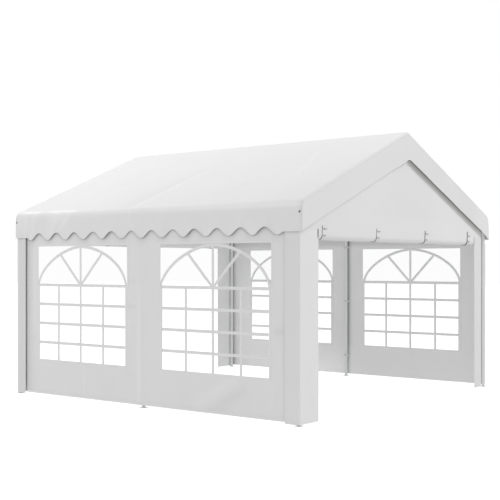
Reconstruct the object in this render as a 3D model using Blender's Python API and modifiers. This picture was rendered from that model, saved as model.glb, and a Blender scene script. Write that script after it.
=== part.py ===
"""Marquee tent, about 4 m square: a steel tube frame under a two-slope fabric cover.

Metres, +Z up. The origin is on the ground under the middle of the roof, the ridge runs
along Y, the front gable faces -Y, and the side walls with windows stand at -X and +X.
"""

import math

import bmesh
import bpy
from mathutils import Matrix, Vector

# Roof cover, outer faces
COVER_HALF_WIDTH = 1.977
COVER_HALF_LENGTH = 2.033
RIDGE_CREASE = 2.9075
EAVE_CREASE = 2.0783
RIDGE_RADIUS = 0.028
EAVE_RADIUS = 0.060
RIDGE_STEPS = 6
EAVE_STEPS = 8
FABRIC = 0.003

# Valances: the flat stretch at each end of a side, the scallops between, the gable edge
VALANCE_FLAT = 1.795
LOBE_LOW = 1.767
NOTCH_HIGH = 1.846
LOBE_PITCH = 0.293
LOBE_COUNT = 13
LOBE_STEPS = 8
GABLE_EDGE_APEX = 2.607

# Steel frame
TUBE_RADIUS = 0.019
SLEEVE_RADIUS = 0.0212
KNUCKLE_RADIUS = 0.0215
KNUCKLE_TURN = 0.4
SLEEVE_LENGTH = 0.150
SLEEVE_START = 0.03
POST_X = 1.9445
POST_Y = 1.9815
EAVE_NODE = 2.0595
RIDGE_NODE = 2.8800
BASE_PLATE = 0.065
BASE_THICK = 0.005
TUBE_SIDES = 24
SMOOTH_UP_TO = math.radians(35)

# Side walls and their windows
WALL_OUTER = 1.9695
WALL_LOW = 0.028
WALL_HIGH = 2.030
WALL_FRONT = -1.985
WALL_BACK_LEFT = 1.832
WALL_BACK_RIGHT = 1.985
WINDOW_CENTRES = {"front": -0.962, "back": 0.935}
WINDOW_LOW = 0.421
WINDOW_SPRING = 1.261
WINDOW_HIGH = 1.695
GRID_HALF_WIDTH = 0.685
ARCH_HALF_WIDTH = 0.7125
FILM_THICK = 0.001
FILM_MARGIN = 0.020

# Corner flaps: the part on the gable, and the part that wraps round onto the side
FLAP_OUTER_Y = 2.0065
FLAP_OUTER_X = 1.9735
FLAP_LOW = 0.014
FLAP_HIGH = 2.020
FLAP_BEND = 0.010
FLAP_BEND_STEPS = 4
FLAP_INNER_LEFT = 1.662
FLAP_INNER_RIGHT = 1.647
WRAP_FRONT = 1.840
WRAP_BACK = 1.864
FLAP_EDGE_FRONT_RIGHT = 1.839
FLAP_EDGE_BACK_RIGHT = 1.918

# Gable panel between the flaps, and the door sheet rolled up behind its lower edge
PANEL_LOW = 1.790
ROLL_LOW = 1.722
ROLL_HIGH = 1.832
ROLL_DEPTH = 0.115
ROLL_ROUND = 2.8
ROLL_STEPS = 24

# Touching pieces keep this much air between them
SEAT = 0.0003


def clear_scene():
    for obj in list(bpy.data.objects):
        bpy.data.objects.remove(obj, do_unlink=True)


def new_collection(name):
    made = bpy.data.collections.new(name)
    bpy.context.scene.collection.children.link(made)
    return made


def finish(name, colour, roughness, metallic=0.0, alpha=1.0):
    """A plain Principled material."""
    made = bpy.data.materials.new(name)
    made.use_nodes = True
    shader = made.node_tree.nodes["Principled BSDF"]
    shader.inputs["Base Color"].default_value = (*colour, 1.0)
    shader.inputs["Roughness"].default_value = roughness
    shader.inputs["Metallic"].default_value = metallic
    shader.inputs["Alpha"].default_value = alpha
    return made


def place(name, data, material):
    """The object that stands for one sub-part."""
    obj = bpy.data.objects.new(name, data)
    obj.data.materials.clear()
    obj.data.materials.append(material)
    TENT.objects.link(obj)
    return obj


def shade_round(mesh):
    mesh.shade_smooth()
    mesh.set_sharp_from_angle(angle=SMOOTH_UP_TO)


def tube(name, start, end, radius, material):
    """A straight round bar between two points, as a bevelled curve with filled caps."""
    curve = bpy.data.curves.new(name, "CURVE")
    curve.dimensions = "3D"
    curve.bevel_depth = radius
    curve.bevel_resolution = TUBE_SIDES // 2 - 2
    curve.use_fill_caps = True
    spline = curve.splines.new("POLY")
    spline.points.add(1)
    spline.points[0].co = (*start, 1.0)
    spline.points[1].co = (*end, 1.0)
    return place(name, curve, material)


def sheet(name, outline, holes, thickness, to_world, material):
    """A flat sheet: a 2D curve through the outline, less the holes, extruded both ways."""
    curve = bpy.data.curves.new(name, "CURVE")
    curve.dimensions = "2D"
    curve.fill_mode = "BOTH"
    curve.extrude = thickness / 2
    for ring in [outline, *holes]:
        spline = curve.splines.new("POLY")
        spline.points.add(len(ring) - 1)
        for point, (u, v) in zip(spline.points, ring):
            point.co = (u, v, 0.0, 1.0)
        spline.use_cyclic_u = True
    obj = place(name, curve, material)
    obj.matrix_world = to_world
    return obj


def across_x(x):
    """Turns a sheet drawn in (y, z) to stand across X at this x."""
    return Matrix(((0, 0, 1, x), (1, 0, 0, 0), (0, 1, 0, 0), (0, 0, 0, 1)))


def across_y(y):
    """Turns a sheet drawn in (x, z) to stand across Y at this y."""
    return Matrix(((1, 0, 0, 0), (0, 0, -1, y), (0, 1, 0, 0), (0, 0, 0, 1)))


def rod_mesh(start, end, radius):
    """A closed cylinder mesh between two points."""
    axis = Vector(end) - Vector(start)
    turn = axis.to_track_quat("Z", "Y").to_matrix().to_4x4()
    middle = Matrix.Translation((Vector(start) + Vector(end)) / 2)
    shape = bmesh.new()
    bmesh.ops.create_cone(
        shape,
        cap_ends=True,
        segments=TUBE_SIDES,
        radius1=radius,
        radius2=radius,
        depth=axis.length,
        matrix=middle @ turn,
    )
    return mesh_from(shape, "rod")


def ball_mesh(centre, radius):
    shape = bmesh.new()
    bmesh.ops.create_uvsphere(
        shape,
        u_segments=TUBE_SIDES,
        v_segments=TUBE_SIDES // 2,
        radius=radius,
        matrix=Matrix.Translation(centre) @ Matrix.Rotation(KNUCKLE_TURN, 4, "X"),
    )
    return mesh_from(shape, "ball")


def block_mesh(centre, size, bevel):
    """A box with its edges bevelled."""
    shape = bmesh.new()
    bmesh.ops.create_cube(shape, size=1.0)
    bmesh.ops.scale(shape, vec=size, verts=shape.verts)
    bmesh.ops.bevel(
        shape, geom=shape.edges, offset=bevel, segments=2, affect="EDGES", profile=0.5
    )
    bmesh.ops.translate(shape, vec=centre, verts=shape.verts)
    return mesh_from(shape, "block")


def mesh_from(shape, name):
    made = bpy.data.meshes.new(name)
    bmesh.ops.recalc_face_normals(shape, faces=shape.faces)
    shape.to_mesh(made)
    shape.free()
    return made


def fused(name, meshes, material):
    """Several closed meshes joined into one body by Boolean unions. The exact solver leaves
    open edges where the sleeves' round walls nearly coincide, so the manifold one is used.
    """
    body = place(name, meshes[0], material)
    helpers = []
    for mesh in meshes[1:]:
        helper = bpy.data.objects.new(name + "_join", mesh)
        helper.hide_render = True
        helper.display_type = "WIRE"
        JOINING.objects.link(helper)
        join = body.modifiers.new("join", "BOOLEAN")
        join.operation = "UNION"
        join.solver = "MANIFOLD"
        join.object = helper
        helpers.append(helper)
    bpy.context.view_layer.update()
    whole = body.evaluated_get(bpy.context.evaluated_depsgraph_get())
    body.data = bpy.data.meshes.new_from_object(whole)
    body.data.name = name
    body.modifiers.clear()
    for helper in helpers:
        bpy.data.objects.remove(helper, do_unlink=True)
    shade_round(body.data)
    return body


def rafter_at(x):
    """Height of a rafter's centre line at this distance from the ridge."""
    return RIDGE_NODE - (RIDGE_NODE - EAVE_NODE) * abs(x) / POST_X


def half_profile():
    """Outer roof line from the ridge to where the side valance hangs straight, as (x, z)."""
    pitch = math.atan2(RIDGE_CREASE - EAVE_CREASE, COVER_HALF_WIDTH)
    ridge_z = RIDGE_CREASE - RIDGE_RADIUS / math.cos(pitch)
    points = []
    for step in range(RIDGE_STEPS // 2 + 1):
        turn = pitch * step / (RIDGE_STEPS // 2)
        points.append(
            (RIDGE_RADIUS * math.sin(turn), ridge_z + RIDGE_RADIUS * math.cos(turn))
        )
    eave_x = COVER_HALF_WIDTH - EAVE_RADIUS
    tangent = EAVE_RADIUS * math.tan((math.pi / 2 - pitch) / 2)
    eave_z = EAVE_CREASE - tangent
    for step in range(EAVE_STEPS + 1):
        turn = pitch + (math.pi / 2 - pitch) * step / EAVE_STEPS
        points.append(
            (eave_x + EAVE_RADIUS * math.sin(turn), eave_z + EAVE_RADIUS * math.cos(turn))
        )
    return points


def scallop_edge():
    """Lower edge of a side valance from the front to the back, as (y, z)."""
    middle = (LOBE_LOW + NOTCH_HIGH) / 2
    swing = (NOTCH_HIGH - LOBE_LOW) / 2
    rise = math.acos((middle - VALANCE_FLAT) / swing) / math.tau * LOBE_PITCH
    first = (LOBE_COUNT - 1) * LOBE_PITCH / 2 + rise
    steps = LOBE_COUNT * LOBE_STEPS
    wave = []
    for step in range(steps + 1):
        y = -first + 2 * first * step / steps
        wave.append((y, middle - swing * math.cos(math.tau * y / LOBE_PITCH)))
    return [(-COVER_HALF_LENGTH, VALANCE_FLAT), *wave, (COVER_HALF_LENGTH, VALANCE_FLAT)]


def roof_cover():
    """One sewn cover: two slopes, scalloped side valances and a valance over each gable."""
    half = half_profile()
    line = [(-x, z) for x, z in reversed(half)] + half[1:]
    shape = bmesh.new()
    rows = []
    for y in (-COVER_HALF_LENGTH, COVER_HALF_LENGTH):
        rows.append([shape.verts.new((x, y, z)) for x, z in line])
    for left in range(len(line) - 1):
        shape.faces.new(
            (rows[0][left], rows[0][left + 1], rows[1][left + 1], rows[1][left])
        )
    edge = scallop_edge()
    corners = {}
    for side, top in ((-1, 0), (1, -1)):
        low = [shape.verts.new((side * COVER_HALF_WIDTH, y, z)) for y, z in edge]
        corners[side] = (low[0], low[-1])
        shape.faces.new([rows[0][top], *low, rows[1][top]])
    for row, end in ((rows[0], 0), (rows[1], 1)):
        y = row[0].co.y
        apex = shape.verts.new((0.0, y, GABLE_EDGE_APEX))
        shape.faces.new([corners[-1][end], *row, corners[1][end], apex])
    bmesh.ops.recalc_face_normals(shape, faces=shape.faces)
    if shape.faces[0].normal.z < 0:
        bmesh.ops.reverse_faces(shape, faces=shape.faces)
    made = bpy.data.meshes.new("roof_cover")
    shape.to_mesh(made)
    shape.free()
    shade_round(made)
    cover = place("roof_cover", made, COVER_CLOTH)
    wall = cover.modifiers.new("cloth", "SOLIDIFY")
    wall.thickness = FABRIC
    wall.offset = -1.0
    wall.use_even_offset = True
    wall.use_quality_normals = True
    return cover


def steel_frame():
    """Posts on base plates, sleeve joints, eave rails, ridge rails and rafters."""
    stations = {"front": -POST_Y, "middle": 0.0, "back": POST_Y}
    sides = {"left": -1, "right": 1}
    up_slope = Vector((POST_X, 0.0, RIDGE_NODE - EAVE_NODE)).normalized()
    sleeve_end = SLEEVE_LENGTH + SEAT
    for station, y in stations.items():
        run = Vector((0.0, -math.copysign(1.0, y) if y else 1.0, 0.0))
        run_start = -run if station == "middle" else run * SLEEVE_START
        for side, sign in sides.items():
            node = Vector((sign * POST_X, y, EAVE_NODE))
            inwards = Vector((-sign * up_slope.x, 0.0, up_slope.z))
            down = Vector((0.0, 0.0, -1.0))
            arms = [(down * SLEEVE_START, down), (inwards * SLEEVE_START, inwards)]
            joint(f"eave_joint_{station}_{side}", node, [*arms, (run_start, run)])
            post_with_base(
                f"post_{station}_{side}", (node.x, y), EAVE_NODE - sleeve_end
            )
            top = Vector((0.0, y, RIDGE_NODE))
            tube(
                f"rafter_{station}_{side}",
                node + inwards * sleeve_end,
                top - inwards * sleeve_end,
                TUBE_RADIUS,
                STEEL,
            )
        top = Vector((0.0, y, RIDGE_NODE))
        falls = [Vector((sign * up_slope.x, 0.0, -up_slope.z)) for sign in (-1, 1)]
        arms = [(fall * SLEEVE_START, fall) for fall in falls]
        joint(f"ridge_joint_{station}", top, [*arms, (run_start, run)])
    for bay, sign in (("front", -1), ("back", 1)):
        ends = (sign * sleeve_end, sign * (POST_Y - sleeve_end))
        for side, out in sides.items():
            tube(
                f"eave_rail_{bay}_{side}",
                (out * POST_X, ends[0], EAVE_NODE),
                (out * POST_X, ends[1], EAVE_NODE),
                TUBE_RADIUS,
                STEEL,
            )
        tube(
            f"ridge_rail_{bay}",
            (0.0, ends[0], RIDGE_NODE),
            (0.0, ends[1], RIDGE_NODE),
            TUBE_RADIUS,
            STEEL,
        )


def joint(name, node, arms):
    """Sleeves that meet in a round knuckle. An arm is its two ends in sleeve lengths."""
    shapes = [ball_mesh(node, KNUCKLE_RADIUS)]
    for start, end in arms:
        ends = (node + start * SLEEVE_LENGTH, node + end * SLEEVE_LENGTH)
        shapes.append(rod_mesh(*ends, SLEEVE_RADIUS))
    return fused(name, shapes, STEEL)


def post_with_base(name, place_xy, top):
    """A round post welded to its square base plate."""
    x, y = place_xy
    plate = block_mesh(
        (x, y, BASE_THICK / 2), (BASE_PLATE, BASE_PLATE, BASE_THICK), BASE_THICK / 5
    )
    rod = rod_mesh((x, y, BASE_THICK / 2), (x, y, top), TUBE_RADIUS)
    return fused(name, [plate, rod], STEEL)


def window_hole(centre):
    """A window's outline in (y, z): the grid below, the slightly wider arch light above."""
    low, high = GRID_HALF_WIDTH, ARCH_HALF_WIDTH
    return [
        (centre - low, WINDOW_LOW),
        (centre + low, WINDOW_LOW),
        (centre + low, WINDOW_SPRING),
        (centre + high, WINDOW_SPRING),
        (centre + high, WINDOW_HIGH),
        (centre - high, WINDOW_HIGH),
        (centre - high, WINDOW_SPRING),
        (centre - low, WINDOW_SPRING),
    ]


def rectangle(low_u, high_u, low_v, high_v):
    return [(low_u, low_v), (high_u, low_v), (high_u, high_v), (low_u, high_v)]


def side_walls():
    """A fabric wall along each side with two windows cut through, and their clear films."""
    film_x = WALL_OUTER - FABRIC - SEAT - FILM_THICK / 2
    for side, sign, back in (("left", -1, WALL_BACK_LEFT), ("right", 1, WALL_BACK_RIGHT)):
        sheet(
            f"{side}_wall",
            rectangle(WALL_FRONT, back, WALL_LOW, WALL_HIGH),
            [window_hole(centre) for centre in WINDOW_CENTRES.values()],
            FABRIC,
            across_x(sign * (WALL_OUTER - FABRIC / 2)),
            WALL_CLOTH,
        )
        for bay, centre in WINDOW_CENTRES.items():
            reach = ARCH_HALF_WIDTH + FILM_MARGIN
            sheet(
                f"{side}_window_film_{bay}",
                rectangle(
                    centre - reach,
                    centre + reach,
                    WINDOW_LOW - FILM_MARGIN,
                    WINDOW_HIGH + FILM_MARGIN,
                ),
                [],
                FILM_THICK,
                across_x(sign * film_x),
                FILM,
            )


def bent_flap(name, facing, wrap):
    """A left corner flap: flat on the gable, bent round the post, flat on the side."""
    outer_x, outer_y = -FLAP_OUTER_X, facing * FLAP_OUTER_Y
    strip = [(-FLAP_INNER_LEFT, outer_y)]
    strip += corner_arc(outer_x, outer_y, facing, FLAP_BEND)
    strip.append((outer_x, facing * wrap))
    inner = [(outer_x + FABRIC, facing * wrap)]
    inner += reversed(
        corner_arc(outer_x + FABRIC, outer_y - facing * FABRIC, facing, FLAP_BEND - FABRIC)
    )
    inner.append((-FLAP_INNER_LEFT, outer_y - facing * FABRIC))
    height = FLAP_HIGH - FLAP_LOW
    upright = Matrix.Translation((0.0, 0.0, FLAP_LOW + height / 2))
    return sheet(name, strip + inner, [], height, upright, FLAP_CLOTH)


def corner_arc(corner_x, corner_y, facing, radius):
    """Points round a left corner, from the gable face to the side face."""
    centre_x = corner_x + radius
    centre_y = corner_y - facing * radius
    points = []
    for step in range(FLAP_BEND_STEPS + 1):
        turn = math.pi / 2 * step / FLAP_BEND_STEPS
        points.append(
            (centre_x - radius * math.sin(turn), centre_y + facing * radius * math.cos(turn))
        )
    return points


def corner_flaps():
    """Narrow flaps beside each door. The left ones wrap round the corner, and the right
    ones are flat and hang from the rafter."""
    bent_flap("front_left_flap", -1, WRAP_FRONT)
    bent_flap("back_left_flap", 1, WRAP_BACK)
    for end, sign, edge in (
        ("front", -1, FLAP_EDGE_FRONT_RIGHT),
        ("back", 1, FLAP_EDGE_BACK_RIGHT),
    ):
        outline = [
            (FLAP_INNER_RIGHT, FLAP_LOW),
            (edge, FLAP_LOW),
            (edge, rafter_at(edge)),
            (FLAP_INNER_RIGHT, rafter_at(FLAP_INNER_RIGHT)),
        ]
        sheet(
            f"{end}_right_flap",
            outline,
            [],
            FABRIC,
            across_y(sign * (FLAP_OUTER_Y - FABRIC / 2)),
            FLAP_CLOTH,
        )


def roll_outline(sign):
    """Section of a soft door roll in (y, z): a superellipse whose front lies flat behind
    the panel.
    """
    front = FLAP_OUTER_Y - FABRIC - SEAT
    half_depth, half_height = ROLL_DEPTH / 2, (ROLL_HIGH - ROLL_LOW) / 2
    points = []
    for step in range(ROLL_STEPS):
        turn = math.tau * (step + 0.5) / ROLL_STEPS
        reach = abs(math.cos(turn)) ** ROLL_ROUND + abs(math.sin(turn)) ** ROLL_ROUND
        reach **= -1 / ROLL_ROUND
        y = front - half_depth + half_depth * reach * math.cos(turn)
        z = ROLL_LOW + half_height + half_height * reach * math.sin(turn)
        points.append((sign * y, z))
    return points


def gables():
    """At each end, the panel on the rafters and the door sheet rolled up behind its edge."""
    left, right = -FLAP_INNER_LEFT + SEAT, FLAP_INNER_RIGHT - SEAT
    outline = [
        (left, PANEL_LOW),
        (right, PANEL_LOW),
        (right, rafter_at(right)),
        (0.0, RIDGE_NODE),
        (left, rafter_at(left)),
    ]
    for end, sign in (("front", -1), ("back", 1)):
        sheet(
            f"{end}_gable_panel",
            outline,
            [],
            FABRIC,
            across_y(sign * (FLAP_OUTER_Y - FABRIC / 2)),
            GABLE_CLOTH,
        )
        sheet(
            f"{end}_door_roll",
            roll_outline(sign),
            [],
            right - left,
            across_x((left + right) / 2),
            GABLE_CLOTH,
        )


clear_scene()
TENT = new_collection("marquee_tent")
JOINING = new_collection("joining_shapes")
STEEL = finish("white_painted_steel", (0.80, 0.81, 0.82), 0.35, 0.3)
COVER_CLOTH = finish("cover_cloth", (0.84, 0.84, 0.84), 0.55)
WALL_CLOTH = finish("wall_cloth", (0.80, 0.80, 0.81), 0.60)
FLAP_CLOTH = finish("flap_cloth", (0.80, 0.80, 0.81), 0.60)
GABLE_CLOTH = finish("gable_cloth", (0.80, 0.80, 0.81), 0.60)
FILM = finish("clear_film", (0.95, 0.97, 0.98), 0.08, 0.0, 0.25)

steel_frame()
roof_cover()
side_walls()
corner_flaps()
gables()
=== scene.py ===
"""Looks of the marquee tent: the sewn roof cover with its scalloped valances, the side walls
with their clear windows, the gable sheets with the door sheets rolled up, and the ties.

Metres, +Z up, in the frame's own place: the ridge along Y, the front gable facing -Y.
"""

import math

import bpy
import numpy as np
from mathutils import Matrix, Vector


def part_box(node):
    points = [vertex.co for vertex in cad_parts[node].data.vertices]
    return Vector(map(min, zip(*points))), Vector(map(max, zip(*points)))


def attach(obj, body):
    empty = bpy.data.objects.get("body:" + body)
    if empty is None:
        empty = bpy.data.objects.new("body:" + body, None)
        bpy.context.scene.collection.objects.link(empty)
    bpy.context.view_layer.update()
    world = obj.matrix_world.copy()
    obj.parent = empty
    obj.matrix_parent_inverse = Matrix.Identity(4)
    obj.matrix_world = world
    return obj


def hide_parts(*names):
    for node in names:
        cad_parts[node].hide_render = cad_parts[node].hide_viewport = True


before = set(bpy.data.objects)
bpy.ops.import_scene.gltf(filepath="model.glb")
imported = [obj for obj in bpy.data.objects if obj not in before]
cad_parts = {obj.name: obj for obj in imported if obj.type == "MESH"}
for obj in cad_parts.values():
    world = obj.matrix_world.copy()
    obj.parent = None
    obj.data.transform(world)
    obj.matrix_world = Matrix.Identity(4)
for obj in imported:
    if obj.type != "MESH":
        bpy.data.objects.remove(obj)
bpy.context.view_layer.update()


def box_of(node):
    """Lowest and highest corner of a frame node."""
    low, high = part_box(node)
    return np.array([tuple(low), tuple(high)], float)


# Places read from the frame
COVER_LOW, (HALF_WIDTH, HALF_LENGTH, RIDGE_TOP) = box_of("roof_cover")
WALL_OUTER, WALL_BACK = -box_of("left_wall")[0, 0], box_of("left_wall")[1, 1]
ROLL_LOW, ROLL_HIGH = box_of("front_door_roll")
FLAP_LOW, FLAP_HIGH = box_of("front_left_flap")
POST_X = -box_of("post_middle_left")[:, 0].mean()
POST_Y = -box_of("post_front_left")[:, 1].mean()

# Roof cover: where its slopes' lines meet, how it is rounded at the ridge and the eave, how
# far its corners flare and its gable edges are raised or tucked in, and how far it hangs slack
RIDGE_CREASE = 2.9075
EAVE_CREASE = 2.0783
PITCH = math.atan2(RIDGE_CREASE - EAVE_CREASE, HALF_WIDTH)
RIDGE_RADIUS = 0.028
EAVE_REACH = 0.035
EAVE_SLACK = 0.017
EAVE_DROP = 1.75
CORNER_FLARE = 0.024
RAKE_RAISE = 0.023
RAKE_TUCK = 0.017
CORNER_RADIUS = 0.010
SAG = 0.012
SEAM_DROOP = 0.007
HEM_TAPE = 0.011

# Valances: the gable's edge at its apex, the ends' level edge, and the scallops
GABLE_EDGE_APEX = 2.607
VALANCE_FLAT = 1.795
LOBE_LOW = COVER_LOW[2]
NOTCH_HIGH = 1.846
LOBE_PITCH = 0.293
LOBE_COUNT = 13

# Rows and columns of the cover. The crest and the folds have rows of their own, in quarters
# of a row from the middle post.
ROWS_PER_LOBE = 12
CREST_ROWS = np.arange(-10, 34)
FOLD_ROWS = np.arange(176, 322, 2)
SLOPE_COLUMNS = 53
HANG_COLUMNS = 16

# Ways down the cover from the ridge, over its cloth: the slope's foot, the top of the hanging
# valance, where its folds are placed, and where they stand out most and over what height
SLOPE_FOOT = 2.15
VALANCE_TOP = 2.14
FOLD_LEVEL = 2.20
FOLD_BELLY, FOLD_FALL = 2.26, 0.17

# The crest over the middle rafter: its shift along the tent for each metre down, its place at
# the ridge, and its half width as a fold and as a painted highlight
CREST_LEAN, CREST_START = 0.080, -0.017
CREST_WIDTH, CREST_MARK = 0.012, 0.015

# Folds of the left slope: start and end as (way down from the ridge, y), half width, height
ROOF_FOLDS = (
    ((0.40, -1.161), (1.36, -1.435), 0.035, 0.0052),
    ((1.48, -1.094), (1.80, -0.938), 0.030, 0.0042),
    ((0.18, -0.218), (0.54, -0.137), 0.028, 0.0042),
    ((0.70, 0.80), (1.70, 1.02), 0.050, 0.0030),
)
# Folds of the left valance: y at the eave, lean along its fall, half width, height
VALANCE_FOLDS = (
    (1.12, 0.95, 0.028, 0.0050),
    (1.30, 0.60, 0.060, 0.0040),
    (1.69, 0.12, 0.020, 0.0045),
    (1.83, 0.10, 0.026, 0.0045),
    (1.94, 0.04, 0.020, 0.0030),
    (0.62, 0.45, 0.045, 0.0026),
    (-0.30, 0.35, 0.050, 0.0024),
    (-1.35, 0.30, 0.055, 0.0026),
)
# Stretches of the left eave where the cloth is pinched up, each with a painted highlight:
# middle y, half length, height
EAVE_PINCHES = ((1.24, 0.24, 0.0035), (1.76, 0.16, 0.0045))
# Stretches of the left valance with a painted highlight: y at the eave, half length
VALANCE_GLEAMS = ((1.28, 0.19), (1.85, 0.22))
# Painted highlight along a fold, for each metre of the fold's height
SLOPE_FOLD_HIGHLIGHT, VALANCE_FOLD_HIGHLIGHT = 45, 36

# Creases of the left wall: start and end as (y, z), half width, height
WALL_CREASES = (
    ((0.895, 0.05), (0.879, 0.40), 0.018, 0.0026),
    ((-0.777, 0.06), (-1.292, 0.36), 0.028, 0.0036),
    ((1.69, 0.80), (1.71, 1.70), 0.028, 0.0018),
    ((-1.70, 0.70), (-1.80, 1.02), 0.040, 0.0020),
)
# Painted shade (above 0) and painted light (below 0) along the left wall's creases and strap
# pulls: start and end as (y, z), half width, shade
WALL_CREASE_SHADING = (
    ((0.038, -0.10), (0.038, 1.30), 0.032, -0.30),
    ((0.060, 1.050), (0.215, 1.050), 0.017, 0.11),
    ((0.075, 1.317), (0.190, 1.317), 0.016, 0.08),
    ((0.884, 0.00), (0.880, 0.40), 0.008, -0.30),
    ((0.905, 0.00), (0.901, 0.40), 0.012, 0.06),
    ((-0.700, 0.08), (-1.260, 0.40), 0.055, -0.24),
    ((-0.900, 0.02), (-1.400, 0.31), 0.070, 0.085),
    ((-1.690, 0.86), (-1.850, 0.86), 0.035, 0.10),
    ((1.697, 0.70), (1.697, 1.85), 0.026, -0.10),
)

# The left wall goes on round to its back corner post: how deep, up to where, and the columns
# that its grid has there, from the flap's edge
RETURN_DEPTH = 0.022
WALL_RETURN_END = POST_Y - 0.0215
RETURN_CUTS = np.linspace(-0.002, 0.012, 8)

# Cloth
COVER_CLOTH_THICK = 0.0010
WALL_CLOTH_THICK = 0.0008
FILM_THICK = 0.0005
HEM_RISE = 0.0007
MERGE = 2e-6

# More columns of a side wall's grid on both sides of its middle seam, and more rows where the
# scallops' painted shadow lies
MIDDLE_CUTS = np.array((0.009, 0.021, 0.033, 0.045))
PAINTED_SHADOW_LEVELS = np.arange(1.704, 1.850, 0.007)

# Windows, as (y, z) on a side wall. Each centre is the bars' own, and the opening cut in the
# left (-1) and right (1) wall lies its CUT_SHIFT further along.
WINDOW_CENTRES = {"front": -0.962, "back": 0.935}
CUT_SHIFT = {-1: -0.008, 1: 0.006}
WINDOW_LOW = 0.421
WINDOW_SPRING = 1.261
WINDOW_HIGH = 1.695
GRID_HALF_WIDTH = 0.681
ARCH_HALF_WIDTH = 0.7075
GRID_ROWS = (1.045, 0.829, 0.613)
GRID_COLUMN = 0.355
BAR_WIDTH = 0.0305
ARCH_BAR_WIDTH = 0.0315
BAR_THICK = 0.0005
BAR_TUCK = 0.004
ARCH_REACH = 0.697
ARCH_RISE = 0.425
ARCH_ROUND = 1.78
SPOKE_TURN = math.radians(46)
FILM_MARGIN = 0.020
WINDOW_HEM = 0.025

# The gable sheets: which end, x of the right edge, and how far along the side the wrap starts
GABLES = {"front": (-1, 1.839, 1.840), "back": (1, 1.943, 1.855)}

# How far above a gable valance's lower edge its painted shadow starts on the sheet
SHADOW_RISE = 0.040

# Their doorway as seen from the front, the slit over the roll's left end, the height of the
# frame's joints at the eave and ridge, the panel's area over the triangle between them, the
# flap's bend round the corner post, and the rolled-up door
DOOR_LEFT = -1.664
DOOR_RIGHT = 1.649
SLIT_HIGH = 1.826
SLOT_LEFT = -1.680
SLOT_LOW = 1.738
ROLL_LEFT = -1.660
ROLL_RIGHT = 1.637
EAVE_NODE = 2.0595
RIDGE_NODE = 2.8800
PANEL_OVER = 1.02
FLAP_FOOT = 0.014
FLAP_BEND = 0.010
BEND_LENGTH = FLAP_BEND * math.pi / 2
BEND_X = FLAP_LOW[0] + FLAP_BEND
CLOTH_SET_BACK = 0.0014
ROLL_MIDDLE_Z = (ROLL_LOW[2] + ROLL_HIGH[2]) / 2
ROLL_HALF_DEPTH, ROLL_HALF_HEIGHT = (ROLL_HIGH - ROLL_LOW)[1:] / 2
ROLL_START = math.radians(8)
ROLL_ROUND = 2.8
ROLL_TURNS = 6.5
ROLL_CORE = 0.10

# Ties of the front (-1) and back (1) door roll: x, then size and height of the top in order
TIE_PLACES = {-1: (-1.60, -0.61, 0.42, 1.46), 1: (-1.60, -0.61, 0.28, 1.42)}
TIE_SIZES = (0.95, 1.0, 1.5, 1.85)
TIE_HEADS = (1.858, 1.858, 1.860, 1.880)
TIE_WIDTH = 0.0064
TIE_THICK = 0.0015
# The two toggles beside a tie: height, length, how far the loop's plane lies off the flap
TOGGLES = ((1.827, 0.041, 0.0030), (1.762, 0.026, 0.0006))

# Straps round the posts
STRAP_HEIGHTS = (0.278, 1.001, 1.722)
STRAP_WIDTH = 0.025
STRAP_THICK = 0.0010
TUBE_RADIUS = 0.019

# Eyelets, as (y, z) on the side valances
EYELET_Y = 2.010
EYELET_Z = 1.975
EYELET_RING = 0.0100
EYELET_OPENING = 0.0074
EYELET_STAND = 0.0032

# Studio
SURROUND_LIGHT = 0.58
FLOOR_REACH = 60.0

# Camera
EYE = (-9.5073, -7.3395, 1.480)
LOOK_TURN = math.radians(38.11)
FOCAL_PIXELS = 1006.86
PHOTO_PIXELS = 500
HORIZON_PIXEL = 265.47
SENSOR = 36.0


# Numbers on grids


def bell(value, centre, width, power=2):
    """The bell curve exp(-((value - centre) / width)^power), with a flat top at power 6."""
    return np.exp(-(((value - centre) / width) ** power))


def ramp(value, start, reach):
    """An even rise from 0 at start to 1 at start + reach, level beyond both."""
    return np.clip((value - start) / reach, 0, 1)


def hollow(off, width):
    """A hollow beside a crest: s exp(1 - s) of s = off / width, and 0 on the other side."""
    share = np.clip(off, 0, None) / width
    return share * np.exp(1 - share)


def smooth(share):
    """The smooth step s^2 (3 - 2 s)."""
    return share * share * (3 - 2 * share)


def together(*parts):
    """Coordinates spread over one grid, with a last axis that runs over the parts."""
    return np.stack(np.broadcast_arrays(*parts), axis=-1)


def unit(vectors):
    """Vectors brought to length 1."""
    return vectors / np.linalg.norm(vectors, axis=-1, keepdims=True)


def lengths(points):
    """The length along a row of points, from 0 at the first."""
    return np.append(0.0, np.cumsum(np.linalg.norm(np.diff(points, axis=0), axis=1)))


def stations(exact, step):
    """The exact values in order, with even steps no longer than step between each two."""
    exact = np.asarray(exact, float)
    counts = np.maximum(1, np.ceil(np.diff(exact) / step - 1e-6).astype(int))
    runs = [
        np.linspace(low, high, count, endpoint=False)
        for low, high, count in zip(exact[:-1], exact[1:], counts)
    ]
    return np.concatenate([*runs, exact[-1:]])


def ripple(u, v, seed, length, count=14, lean=math.pi):
    """Soft waves of height about 1: the sum of count cosines of
    2 pi (u cos a + v sin a) / l + p, over the root of count / 2. The directions a, within lean
    of the u axis, the lengths l, from 0.6 to 1.7 lengths, and the phases p are seeded draws.
    """
    draw = np.random.default_rng(seed)
    angle = draw.uniform(-lean / 2, lean / 2, count)
    wave = length * draw.uniform(0.6, 1.7, count)
    phase = draw.uniform(0, math.tau, count)
    along = u[..., None] * np.cos(angle) + v[..., None] * np.sin(angle)
    return np.cos(math.tau * along / wave + phase).sum(-1) / math.sqrt(count / 2)


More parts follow.
